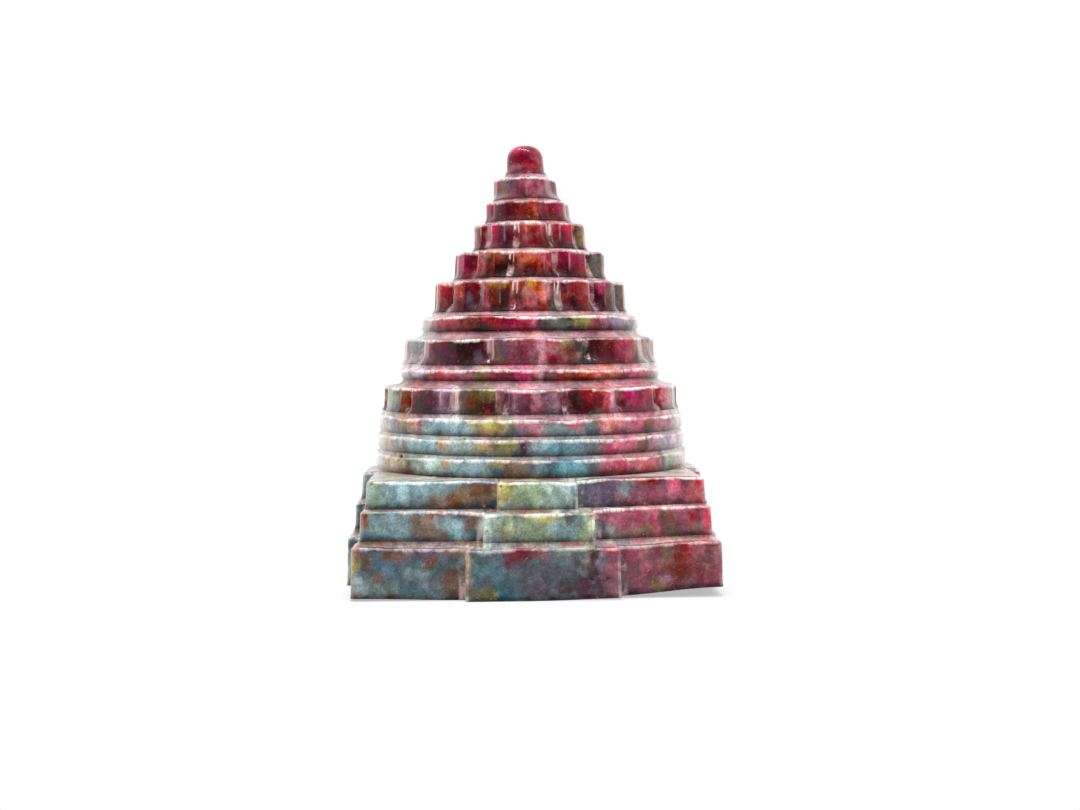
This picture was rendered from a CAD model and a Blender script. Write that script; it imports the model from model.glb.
import itertools
import math
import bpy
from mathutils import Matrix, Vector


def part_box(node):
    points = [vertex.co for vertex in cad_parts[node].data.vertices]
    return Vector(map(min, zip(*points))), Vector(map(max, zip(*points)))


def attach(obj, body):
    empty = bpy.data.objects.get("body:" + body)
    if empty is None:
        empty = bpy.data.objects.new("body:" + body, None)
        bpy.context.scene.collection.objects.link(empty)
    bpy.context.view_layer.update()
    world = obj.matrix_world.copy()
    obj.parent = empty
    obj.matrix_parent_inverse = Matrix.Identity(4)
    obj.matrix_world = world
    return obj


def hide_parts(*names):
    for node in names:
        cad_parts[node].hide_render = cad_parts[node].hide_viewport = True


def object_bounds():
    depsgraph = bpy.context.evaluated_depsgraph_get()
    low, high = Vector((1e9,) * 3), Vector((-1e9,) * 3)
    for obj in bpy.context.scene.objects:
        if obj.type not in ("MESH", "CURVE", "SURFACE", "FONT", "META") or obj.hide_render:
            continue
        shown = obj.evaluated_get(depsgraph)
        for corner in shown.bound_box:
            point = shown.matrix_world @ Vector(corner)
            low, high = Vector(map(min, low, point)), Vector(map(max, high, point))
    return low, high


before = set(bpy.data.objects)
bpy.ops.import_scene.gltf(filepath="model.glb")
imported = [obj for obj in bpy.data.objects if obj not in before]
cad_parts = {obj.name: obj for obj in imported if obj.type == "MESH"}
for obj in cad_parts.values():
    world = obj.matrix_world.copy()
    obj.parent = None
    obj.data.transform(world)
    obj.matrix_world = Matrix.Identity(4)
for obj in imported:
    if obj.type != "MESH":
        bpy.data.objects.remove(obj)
from types import SimpleNamespace
import bpy
import numpy as np
from mathutils import Euler, Matrix, Vector

# Shri yantra carved from one block of mottled, polished stone.
# Lengths are millimetres here and become metres when a mesh is made. Bearings start at the front and
# turn towards +X.
MM = 0.001
CAD_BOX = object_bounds()
TURN = 2 * math.pi
SEED = 51


def tiers(columns, rows):
    """Levels by name, with a named value for each column."""
    return {name: SimpleNamespace(**dict(zip(columns.split(), values))) for name, values in rows.items()}


# Carved levels, with the real sizes of their outlines.
# wall: height of the worn edge. edge: how round it is worn. lean: how far the wall leans in.
SQUARES = tiers("slot reach wall edge lean gate_half gate_out gate_shift rise", {
    "bhupura_lower": ("blue_grey_stone", 29.9, 8.3, 0.75, 0.2, 12.4, 1.85, 1, 0),
    "bhupura_middle": ("sage_stone", 28.4, 4.55, 0.8, 0.2, 9, 2.2, 0.4, 0.28),
    "bhupura_upper": ("sage_stone", 27.5, 4.4, 0.9, 0.2, 6.5, 2.1, 0.2, 0.25),
})
CIRCLES = tiers("slot reach wall edge lean", {
    "circle_lower": ("pale_blue_stone", 27.5, 2.9, 1.25, 0.1),
    "circle_middle": ("pale_blue_stone", 27.2, 2.65, 1.15, 0.1),
    "circle_upper": ("olive_stone", 26.95, 2.65, 1.15, 0.1),
    "petal_circle": ("raspberry_stone", 22.95, 1.75, 0.7, 0.05),
    "upper_circle": ("raspberry_stone", 19.25, 2.5, 0.8, 0.1),
})
STARS = tiers("slot reach wall edge lean points turn flat deep swell cut ridge", {
    "sixteen_petal_lotus": ("maroon_stone", 26.2, 4.15, 0.5, 0.2, 16, 0, 6.2, 1.9, 0.2, 0.3, 0.3),
    "eight_petal_lotus": ("maroon_stone", 22.3, 4.35, 0.55, 0.2, 8, 3, 6.2, 1.9, 0.4, 0.2, 0.4),
    "fourteen_point_tier": ("maroon_stone", 17.1, 5.2, 0.45, 0.2, 14, 3, 3.2, 2.1, 0.1, 0.3, 0.2),
    "outer_ten_point_tier": ("rose_stone", 13.6, 4.55, 0.4, 0.2, 10, 2, 3.3, 2, 0.1, 0.3, 0.2),
    "inner_ten_point_tier": ("rose_stone", 10.1, 4.45, 0.35, 0.2, 10, 3, 2.7, 1.5, 0.1, 0.25, 0.12),
    "eight_point_tier": ("maroon_stone", 7.5, 3.4, 0.35, 0.15, 8, 7.5, 1.3, 0.4, 0.05, 0.08, 0.05),
    "triangle_tier": ("dusk_stone", 6.3, 3.9, 0.9, 0.2, 3, 8, 1.9, 1.7, 0.4, 0, 0.05),
})
TOP = "bindu_dome"
DOME_TAPER = 0.05
TOP_CLEARANCE = 0.04
CAP_CLEARANCE = 0.05
DOME = SimpleNamespace(slot="dusk_stone", reach=3.3, foot=3.65, neck=0.9, cap=2.6)
LEVELS = {**SQUARES, **CIRCLES, **STARS, TOP: DOME}
FROM_THE_GROUND = sorted(LEVELS, key=lambda name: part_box(name)[0][2])

# Mesh fineness.
COLUMN = 0.3
VALLEY_COLUMN = 0.12
VALLEY_COLUMNS = np.arange(-0.84, 0.85, VALLEY_COLUMN)
WALL_ROW = 0.42
EDGE_ROWS = 7
TREAD_ROWS = 10
DOME_COLUMNS = 120

# Worn corners seen from above, and how much of a valley is left at its foot.
SQUARE_CORNER = 1.1
GATE_CORNER = 0.6
RIDGE_CORNER = 0.35
VALLEY_CORNER = 0.5
VALLEY_AT_FOOT = 0.5
RING_GROOVE = 0.35
LEAST_TREAD = 0.05
WHEEL_HALF = 0.32

# A wall spreads out where it meets the tread below it. Circles don't.
SQUARE_COVE = 0.12
STAR_COVE = 0.32
COVE_HEIGHT = 0.9

# How far a level's top edge wanders up and down.
CIRCLE_WANDER = 0.24
WANDER = 0.16

# Waviness of hand carving: depth, size and seed.
WALL_WAVES = [(0.1, 9, 11), (0.05, 3.2, 12), (0.022, 1.3, 13)]
LIFT_WAVES = [(0.06, 5, 16), (0.03, 1.6, 17)]
SIDE_WAVE = 0.08

# The column of tiers leans a little to the left above this height.
LEAN_FROM = 57
LEAN_AT_TOP = -0.7

# How far the underside stands clear of the ground at the front, and up to which height most of that goes on.
UNDERSIDE_RIGHT = 1.3
UNDERSIDE_LEFT = 0.4
UNDERSIDE_HEIGHT = 7

# Small broken places on the edges: level, place to the right of the axis, share of its height, and size.
CHIPS = [
    ("bhupura_lower", 9.6, 0.92, 0.6), ("bhupura_lower", 24.5, 0.95, 0.4),
    ("bhupura_middle", -27.4, 0.8, 0.5), ("bhupura_upper", -5.7, 0.8, 0.4),
    ("bhupura_upper", 9.3, 0.95, 0.5), ("circle_lower", -22.6, 0.8, 0.75),
    ("circle_middle", -16, 0.6, 0.4), ("eight_petal_lotus", 14, 0.93, 0.4),
    ("fourteen_point_tier", 1.4, 0.5, 0.35),
]
CHIP_DEPTH = 0.6


# Noise

def scatter(cell, seed):
    """Random value between -1 and 1 for each whole-numbered cell."""
    mixed = (cell[..., 0] * 73856093) ^ (cell[..., 1] * 19349663) ^ (cell[..., 2] * 83492791)
    mixed = (mixed ^ (seed * 2654435761)) & 0xFFFFFFFF
    mixed = ((mixed ^ (mixed >> 15)) * 2246822519) & 0xFFFFFFFF
    mixed = ((mixed ^ (mixed >> 13)) * 3266489917) & 0xFFFFFFFF
    return (mixed ^ (mixed >> 16)) / 0xFFFFFFFF * 2 - 1


def noise(points, size, seed):
    """Smooth noise between -1 and 1 with lumps about size mm wide."""
    scaled = points / size + seed * 3.17
    cell = np.floor(scaled).astype(np.int64)
    part = scaled - cell
    ease = part * part * part * (part * (part * 6 - 15) + 10)
    total = np.zeros(points.shape[:-1])
    for corner in itertools.product((0, 1), repeat=3):
        weight = np.prod(np.where(corner, ease, 1 - ease), axis=-1)
        total += weight * scatter(cell + np.array(corner), seed)
    return total


def cloud(points, size, seed, octaves=3):
    """Noise with finer noise on top."""
    return sum(noise(points, size / 2 ** octave, seed + octave) / 1.7 ** octave for octave in range(octaves))


def waves(points, layers):
    return sum(depth * noise(points, size, SEED + seed) for depth, size, seed in layers)


def smooth(low, high, value):
    part = np.clip((value - low) / (high - low), 0, 1)
    return part * part * (3 - 2 * part)


# Outlines. Each is a bearing and a radius at every point.

def rounded(corners, sizes):
    """Closed line through the corners, each rounded over its size."""
    line = []
    for index, (corner, size) in enumerate(zip(corners, sizes)):
        here = np.array(corner)
        arriving = here - np.array(corners[index - 1])
        leaving = np.array(corners[(index + 1) % len(corners)]) - here
        start = here - arriving / np.linalg.norm(arriving) * size
        end = here + leaving / np.linalg.norm(leaving) * size
        if line:
            line += between(line[-1], start)
        for part in np.linspace(0, 1, 7):
            line.append(start * (1 - part) ** 2 + here * 2 * part * (1 - part) + end * part ** 2)
    line += between(line[-1], line[0])
    return polar(np.array(line))


def between(start, end):
    """Points inside a straight stretch."""
    count = max(1, round(np.linalg.norm(end - start) / COLUMN))
    return [start + (end - start) * part / count for part in range(1, count)]


def polar(line):
    bearing = np.arctan2(line[:, 0], -line[:, 1]) % TURN
    radius = np.hypot(line[:, 0], line[:, 1])
    order = np.argsort(bearing)
    return bearing[order], radius[order]


def turned(x, y, angle):
    """Point turned about the axis, towards +X at the front."""
    return (x * math.cos(angle) - y * math.sin(angle), x * math.sin(angle) + y * math.cos(angle))


def square_outline(tier):
    """Square with a gate on each side. Those at the sides and back differ a little from the front one."""
    rng = np.random.default_rng(SEED + round(tier.reach * 10))
    corners = []
    for side in range(4):
        shift = tier.gate_shift + (rng.uniform(-0.3, 0.3) if side else 0)
        half = tier.gate_half + (rng.uniform(-0.2, 0.2) if side else 0)
        reach, gate = tier.reach, tier.reach + tier.gate_out
        stretch = [(-reach, -reach), (shift - half, -reach), (shift - half, -gate),
                   (shift + half, -gate), (shift + half, -reach)]
        corners += [turned(x, y, side * math.pi / 2) for x, y in stretch]
    return rounded(corners, ([SQUARE_CORNER] + [GATE_CORNER] * 4) * 4)


def point_bearings(tier):
    """Bearing of each point, with the uneven spacing of hand carving."""
    rng = np.random.default_rng(SEED + tier.points + round(tier.reach))
    pitch = TURN / tier.points
    wander = rng.uniform(-0.05, 0.05, tier.points) * pitch
    wander[0] = 0
    return math.radians(tier.turn) + np.arange(tier.points) * pitch + wander


def valley_bearings(tier):
    bearings = point_bearings(tier)
    following = np.append(bearings[1:], bearings[0] + TURN)
    return (bearings + following) / 2


def star_outline(tier, valley_share):
    """Star or lotus. valley_share is how much of the valley's depth is cut at this height."""
    rng = np.random.default_rng(SEED + 7 * tier.points)
    bearings = point_bearings(tier)
    low = tier.reach - tier.deep * valley_share
    corners = []
    for bearing, valley, following in zip(bearings, valley_bearings(tier), np.roll(bearings, -1)):
        half = tier.flat * rng.uniform(0.85, 1.15) / 2
        reach = tier.reach - rng.uniform(0, 0.12)
        left = turned(-half, tier.ridge - reach, bearing)
        right = turned(half, tier.ridge - reach, bearing)
        far = turned(-half, tier.ridge - reach, following)
        floor = turned(0, -low, valley)
        corners += [left, turned(0, -reach, bearing), right]
        corners += [bowed(right, floor, tier.swell), floor, bowed(far, floor, tier.swell)]
    return rounded(corners, ([RIDGE_CORNER] * 4 + [VALLEY_CORNER, RIDGE_CORNER]) * tier.points)


def bowed(start, end, swell):
    """Middle of a face, pushed out from the axis."""
    middle = (np.array(start) + np.array(end)) / 2
    return tuple(middle * (1 + swell / np.linalg.norm(middle)))


def circle_outline(radius):
    bearing = np.arange(0, TURN, COLUMN / radius)
    return bearing, np.full(bearing.shape, radius)


def wall_outline(name, at_top=False):
    """Outline at a level's top edge, or low on its wall, above its cove."""
    if name in SQUARES:
        return square_outline(SQUARES[name])
    if name in STARS:
        return star_outline(STARS[name], 1 if at_top else VALLEY_AT_FOOT)
    if name == TOP:
        return circle_outline(DOME.foot)
    return circle_outline(CIRCLES[name].reach - (0 if at_top else RING_GROOVE))


def foot_outline(name):
    """Outline where a level meets the tread below it."""
    bearing, radius = wall_outline(name)
    return bearing, radius + cove(name)


def cove(name):
    """How far a wall spreads out at its foot."""
    if name in SQUARES:
        return SQUARE_COVE
    return STAR_COVE if name in STARS else 0


def cove_spread(name, above_foot):
    """How far a wall spreads out at a height above its foot."""
    return cove(name) * (1 - smooth(-0.5, COVE_HEIGHT, above_foot)) / (1 - smooth(-0.5, COVE_HEIGHT, 0))


def at(outline, columns):
    """Radius of an outline at each column's bearing."""
    return np.interp(columns, outline[0], outline[1], period=TURN)


def column_bearings(name, above):
    """Bearings of a level's columns: its corners, those of the level above, and finer ones at the cuts."""
    found = [wall_outline(name, True)[0], foot_outline(name)[0], foot_outline(above)[0]]
    for tier in [STARS[level] for level in (name, above) if level in STARS]:
        found += [valley + VALLEY_COLUMNS / tier.reach for valley in valley_bearings(tier)]
    columns = np.sort(np.concatenate(found) % TURN)
    keep = [columns[0]]
    for bearing in columns[1:]:
        if (bearing - keep[-1]) * LEVELS[name].reach > 0.4 * VALLEY_COLUMN:
            keep.append(bearing)
    return np.array(keep)


# Surfaces. A level is a grid of rows and columns.

def height_span(name):
    return [corner[2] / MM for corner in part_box(name)]


def level_rows(name, above):
    """Grid of a level. Each row holds its radius, its height, how far it is below the top edge, and its part,
    which goes from 0 to 1 up the wall and from 1 to 2 across the tread."""
    shape = level_shape(name, above)
    rows = wall_rows(name, shape) + edge_rows(shape)
    rows += tread_rows(shape, *rows[-1][:2])
    return shape.columns, *(np.array(values) for values in zip(*rows))


def level_shape(name, above):
    """What a level's rows are made from, at each column."""
    tier = LEVELS[name]
    low, high = height_span(name)
    columns = column_bearings(name, above)
    top = at(wall_outline(name, True), columns) - wheel_cut(name, columns)
    seat = at(foot_outline(above), columns)
    brim = low + tier.wall
    ring = np.stack([np.sin(columns), -np.cos(columns), np.full(columns.shape, brim / 9)], -1) * tier.reach
    wear = tier.edge * (1 + 0.3 * cloud(ring, 2.2, SEED))
    wear = np.minimum(wear, 0.6 * np.maximum(top - tier.lean - seat, 0.2))
    if name in SQUARES:
        brim = brim + corner_rise(name, columns, top)
    brim = brim + (CIRCLE_WANDER if name in CIRCLES else WANDER) * noise(ring, 7, SEED + 3)
    return SimpleNamespace(columns=columns, low=low, high=high, wall=at(wall_outline(name), columns),
                           top=top, seat=seat, brim=brim, wear=wear, lean=tier.lean,
                           slant=slant_factor(columns, top))


def wall_rows(name, shape):
    rows = []
    count = max(5, round(LEVELS[name].wall / WALL_ROW))
    for part in np.linspace(0, 1, count) ** 1.3:
        height = shape.low + (shape.brim - shape.wear - shape.low) * part
        radius = shape.wall + (shape.top - shape.wall) * smooth(0, 0.45, part)
        radius += cove_spread(name, height - shape.low) - shape.lean * part * shape.slant
        rows.append((radius, height, shape.brim - height, part))
    return rows


def edge_rows(shape):
    """Quarter round from the wall to the tread."""
    rows = []
    for angle in np.arange(1, EDGE_ROWS + 1) / EDGE_ROWS * math.pi / 2:
        inset = shape.wear * (1 - math.cos(angle))
        height = shape.brim - shape.wear * (1 - math.sin(angle))
        rows.append((shape.top - (shape.lean + inset) * shape.slant, height, shape.brim - height - inset, 1))
    return rows


def tread_rows(shape, edge_radius, edge_height):
    """Tread that dips from the worn edge to the foot of the level above."""
    rows = []
    across = np.minimum(shape.seat, edge_radius - LEAST_TREAD) - edge_radius
    for part in np.arange(1, TREAD_ROWS + 1) / TREAD_ROWS:
        radius = edge_radius + across * curve(part, 0.65, 1)
        height = edge_height + (shape.high - edge_height) * curve(part, 0.18, 0.35)
        rows.append((radius, height, np.full(radius.shape, -1 - 3 * part), 1 + part))
    rows[-1] = (shape.seat, *rows[-1][1:])
    return rows


def corner_rise(name, columns, radius):
    """How much higher the edge of a square stands beside its gates than on them."""
    along = radius * np.minimum(np.abs(np.sin(columns)), np.abs(np.cos(columns)))
    half = SQUARES[name].gate_half
    return SQUARES[name].rise * smooth(half, half + 3, along)


def curve(part, first, second):
    """Cubic curve from 0 to 1 with two inner controls."""
    rest = 1 - part
    return 3 * rest * rest * part * first + 3 * rest * part * part * second + part ** 3


def slant_factor(columns, radius):
    """How much longer an inset is along the radius than square to the wall."""
    size = np.gradient(np.unwrap(columns))
    slope = np.gradient(radius) / np.maximum(size, 1e-6) / radius
    return np.clip(np.sqrt(1 + slope ** 2), 1, 1.6)


def across_valley(columns, valley, tier):
    """Distance of each column from a valley, along the tier's rim."""
    return ((columns - valley + math.pi) % TURN - math.pi) * tier.reach


def wheel_cut(name, columns):
    """Depth of the wheel cuts at the top of a star's valleys."""
    if name not in STARS:
        return 0
    tier = STARS[name]
    return sum(tier.cut * np.exp(-(across_valley(columns, valley, tier) / WHEEL_HALF) ** 2)
               for valley in valley_bearings(tier))


def dome_rows():
    """Grid of the dome: a flared neck, a side and a cap."""
    low, high = height_span(TOP)
    neck, shoulder = low + DOME.neck, high - DOME.cap
    profile = []
    for part in np.linspace(0, 1, 7):
        flare = (DOME.foot - DOME.reach) * (1 - part) ** 2.2
        profile.append((DOME.reach + flare, low + DOME.neck * part))
    for part in np.linspace(0, 1, 6)[1:]:
        profile.append((DOME.reach - DOME_TAPER * part, neck + (shoulder - neck) * part))
    for part in np.linspace(0, 1, 18)[1:-1]:
        angle = part * math.pi / 2
        radius = (DOME.reach - DOME_TAPER) * math.cos(angle) ** 0.85
        profile.append((radius, shoulder + (DOME.cap - CAP_CLEARANCE) * math.sin(angle)))
    radii, heights = (np.tile(np.array(values)[:, None], DOME_COLUMNS) for values in zip(*profile))
    columns = np.arange(0, TURN, TURN / DOME_COLUMNS)
    return columns, radii, heights, high - heights + 0.8, np.linspace(0, 1, len(profile))


def placed(columns, radii, heights):
    """Points of a grid in space."""
    return np.stack([radii * np.sin(columns), -radii * np.cos(columns), heights], -1)


def carved(name, points):
    """Points moved by the waviness of hand carving. Feet and tops stay on their level."""
    low, high = height_span(name)
    radial = points * np.array([1, 1, 0])
    radial /= np.maximum(np.linalg.norm(radial, axis=-1, keepdims=True), 1e-6)
    part = np.clip((points[..., 2] - low) / (high - low), 0, 1)
    loose = np.minimum(1, 6 * part * (1 - part))
    moved = points + radial * waves(points, WALL_WAVES)[..., None]
    moved[..., 0] += SIDE_WAVE * noise(points, 12, SEED + 14)
    moved[..., 0] += LEAN_AT_TOP * smooth(LEAN_FROM, CAD_BOX[1][2] / MM, points[..., 2])
    moved[..., 1] += SIDE_WAVE * noise(points, 12, SEED + 15)
    moved[..., 2] += waves(points, LIFT_WAVES) * loose + underside_lift(points)
    for chip in CHIPS:
        moved -= radial * (CHIP_DEPTH * chip[-1] * chip_share(points, *chip))[..., None]
    return moved


def underside_lift(points):
    """The front of the underside is uneven: it stands clear of the ground towards both ends."""
    x, y, z = np.moveaxis(points, -1, 0)
    left = smooth(10, 30, -x) + 0.7 * smooth(0, 13, x)
    lift = (UNDERSIDE_RIGHT * smooth(11, 30, x) + UNDERSIDE_LEFT * left) * smooth(12, 27, -y)
    return lift * (1 - 0.6 * smooth(0, UNDERSIDE_HEIGHT, z) - 0.4 * smooth(12, 22, z))


def chip_share(points, name, x, share, size):
    """One at the middle of a chip, zero away from it."""
    low, high = height_span(name)
    middle = np.array([x, front_wall(name, x), low + (high - low) * share])
    away = np.linalg.norm((points - middle) / np.array([size, size + 0.5, 0.7 * size]), axis=-1)
    return 1 - smooth(0.5, 1.1, away + 0.25 * noise(points, 0.5, SEED + 30))


def front_wall(name, x):
    """How far a level's front wall stands from the axis at x, as a Y value."""
    tier = LEVELS[name]
    if name in SQUARES:
        inside = abs(x - tier.gate_shift) < tier.gate_half
        return -tier.reach - (tier.gate_out if inside else 0)
    return -math.sqrt(max(tier.reach ** 2 - x * x, 1))


# Colours

def paint(code):
    """Linear colour from a hex code."""
    values = np.array([int(code[start:start + 2], 16) / 255 for start in (0, 2, 4)])
    return np.where(values <= 0.04045, values / 12.92, ((values + 0.055) / 1.055) ** 2.4)


def mix(first, second, share):
    share = np.asarray(share)[..., None]
    return first * (1 - share) + second * share


DEEP_TEAL = paint("3f585f")
BLUE_GREY = paint("4f6b72")
STEEL = paint("7c9194")
PALE_BLUE = paint("90abb0")
ICE = paint("a9c0b8")
BRIGHT_BLUE = paint("5c8791")
TEAL = paint("4a7f8e")
DENIM = paint("546b80")
NAVY = paint("38454f")
SLATE = paint("525b60")
GREEN_GREY = paint("5d6a5f")
SAGE = paint("95a688")
SAGE_YELLOW = paint("a79d62")
OLIVE = paint("7f7a48")
MOSS = paint("5a4c2c")
OCHRE = paint("ac8448")
TAN = paint("96805f")
RUST = paint("7e5234")
BROWN = paint("6a4a36")
UMBER = paint("7e6656")
BARK = paint("2a1410")
RED_BROWN = paint("7c3428")
RED_ORANGE = paint("a8472f")
SALMON = paint("d26e54")
PALE_SALMON = paint("d08a84")
CRIMSON = paint("9c1822")
MAROON = paint("500e14")
WINE = paint("701428")
PLUM = paint("4c1c32")
RASPBERRY = paint("a02046")
MAGENTA = paint("a8305e")
ROSEWOOD = paint("8a3a42")
OLD_ROSE = paint("84505a")
PALE_ROSE = paint("a46a72")
DUSKY_PINK = paint("b85c64")
PINK = paint("c4667a")
BLUSH = paint("d49eaa")
MAUVE = paint("985c6a")
PURPLE = paint("6f4a60")
GREY_PURPLE = paint("66566a")
GREY_LILAC = paint("90788a")
LAVENDER = paint("ac98ac")
HAZE = paint("d6ccc6")
ROSE_HAZE = paint("e2c6cc")
CREAM = paint("f2e6d0")
CHIP_DARK = paint("1f1a1a")
EDGE_GLINT = paint("f0e6e0")
SCRATCH_WHITE = paint("efe6e2")
RUST_DARK = paint("55301f")
RUST_LIGHT = paint("a8733a")
FLECK_DARK = paint("241a1c")
CRYSTAL_GLINT = paint("e0cccb")
VEIN_SALMON = paint("d0806c")
CRACK_DARK = paint("181418")
WEB_PINK = paint("d9b4b4")

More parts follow.
